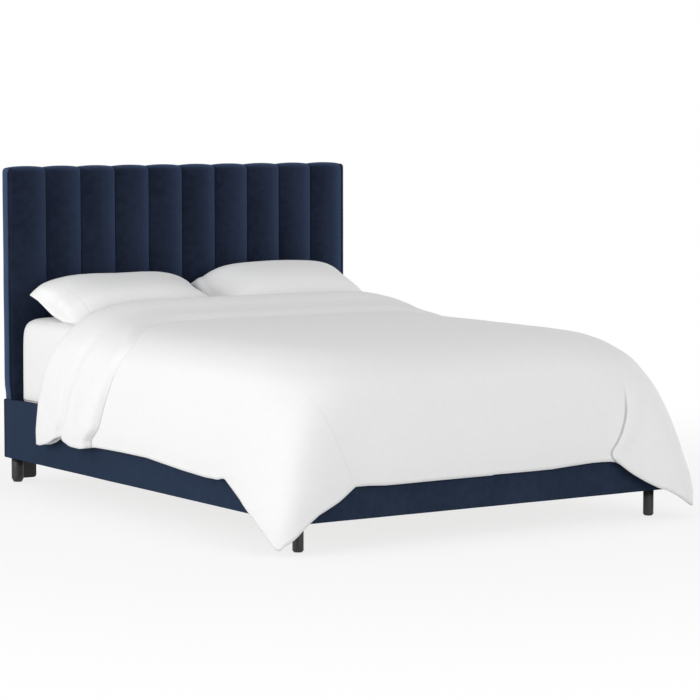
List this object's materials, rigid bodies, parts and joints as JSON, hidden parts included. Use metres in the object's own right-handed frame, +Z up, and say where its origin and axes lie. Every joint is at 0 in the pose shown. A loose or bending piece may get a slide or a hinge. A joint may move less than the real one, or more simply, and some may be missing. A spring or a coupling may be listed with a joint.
{
  "type": "upholstered headboard bed",
  "caption": "Low upholstered platform bed with a vertically channelled velvet headboard, velvet-wrapped rails on round legs, slatted deck, mattress, pillows and a draped duvet.",
  "frame": {"origin": "on the floor under the middle of the whole bed's box", "axes": "+Z up, +Y from the foot towards the headboard, +X to the right of someone lying on their back with the head at the headboard seen from the foot"},
  "size_m": [1.7115, 2.2277, 1.243],
  "materials": {
    "navy_velvet": "velvet pile",
    "plywood": "raw plywood",
    "pine": "raw sawn pine",
    "black_lacquer": "black satin lacquer",
    "black_cloth": "non-woven cambric",
    "zinc_steel": "zinc plated",
    "black_steel": "black powder coat",
    "black_plastic": "moulded black",
    "webbing": "woven tape",
    "ticking": "quilted knit",
    "white_cotton": "plain white cotton"
  },
  "bodies": {
    "bed_frame": {"centre_leg_1": "black_steel", "centre_leg_2": "black_steel", "centre_rail": "pine", "centre_rail_hangers": "black_steel", "corner_blocks": "pine", "foot_rail": "pine", "foot_rail_cover": "navy_velvet", "front_leg_glides": "black_plastic", "front_leg_left": "black_lacquer", "front_leg_right": "black_lacquer", "head_rail": "pine", "headboard_border_left": "navy_velvet", "headboard_border_right": "navy_velvet", "headboard_bottom_rail": "pine", "headboard_centre_stile": "pine", "headboard_channel_01": "navy_velvet", "headboard_channel_02": "navy_velvet", "headboard_channel_03": "navy_velvet", "headboard_channel_04": "navy_velvet", "headboard_channel_05": "navy_velvet", "headboard_channel_06": "navy_velvet", "headboard_channel_07": "navy_velvet", "headboard_channel_08": "navy_velvet", "headboard_channel_09": "navy_velvet", "headboard_channel_10": "navy_velvet", "headboard_dust_cover": "black_cloth", "headboard_leg_bolts": "zinc_steel", "headboard_leg_left": "black_lacquer", "headboard_leg_right": "black_lacquer", "headboard_panel": "plywood", "headboard_post_left": "pine", "headboard_post_right": "pine", "headboard_rail_bolts": "zinc_steel", "headboard_rail_nuts": "zinc_steel", "headboard_top_rail": "pine", "rear_leg_glides": "black_plastic", "rear_leg_left": "black_lacquer", "rear_leg_right": "black_lacquer", "side_rail_cover_left": "navy_velvet", "side_rail_cover_right": "navy_velvet", "side_rail_left": "pine", "side_rail_right": "pine", "slat_cleat_left": "pine", "slat_cleat_right": "pine", "slat_straps": "webbing", "slats": "pine"},
    "levelling_foot_1": {"levelling_foot_1": "black_plastic"},
    "levelling_foot_2": {"levelling_foot_2": "black_plastic"},
    "mattress": {"mattress": "ticking", "fitted_sheet": "white_cotton"},
    "pillow_left": {"pillow_left": "white_cotton"},
    "pillow_right": {"pillow_right": "white_cotton"},
    "duvet": {"duvet": "white_cotton"}
  },
  "joints": [
    {"name": "levelling_foot_1_screw", "type": "slide", "parent": "bed_frame", "child": "levelling_foot_1", "axis": [0, 0, -1], "range_m": [0, 0.012]},
    {"name": "levelling_foot_2_screw", "type": "slide", "parent": "bed_frame", "child": "levelling_foot_2", "axis": [0, 0, -1], "range_m": [0, 0.012]},
    {"name": "mattress_lift", "type": "slide", "parent": "bed_frame", "child": "mattress", "axis": [0, 0, 1], "range_m": [0, 0.5]},
    {"name": "pillow_left_lift", "type": "slide", "parent": "mattress", "child": "pillow_left", "axis": [0, 0, 1], "range_m": [0, 0.5]},
    {"name": "pillow_right_lift", "type": "slide", "parent": "mattress", "child": "pillow_right", "axis": [0, 0, 1], "range_m": [0, 0.5]},
    {"name": "duvet_lift", "type": "slide", "parent": "mattress", "child": "duvet", "axis": [0, 0, 1], "range_m": [0, 0.6]}
  ]
}
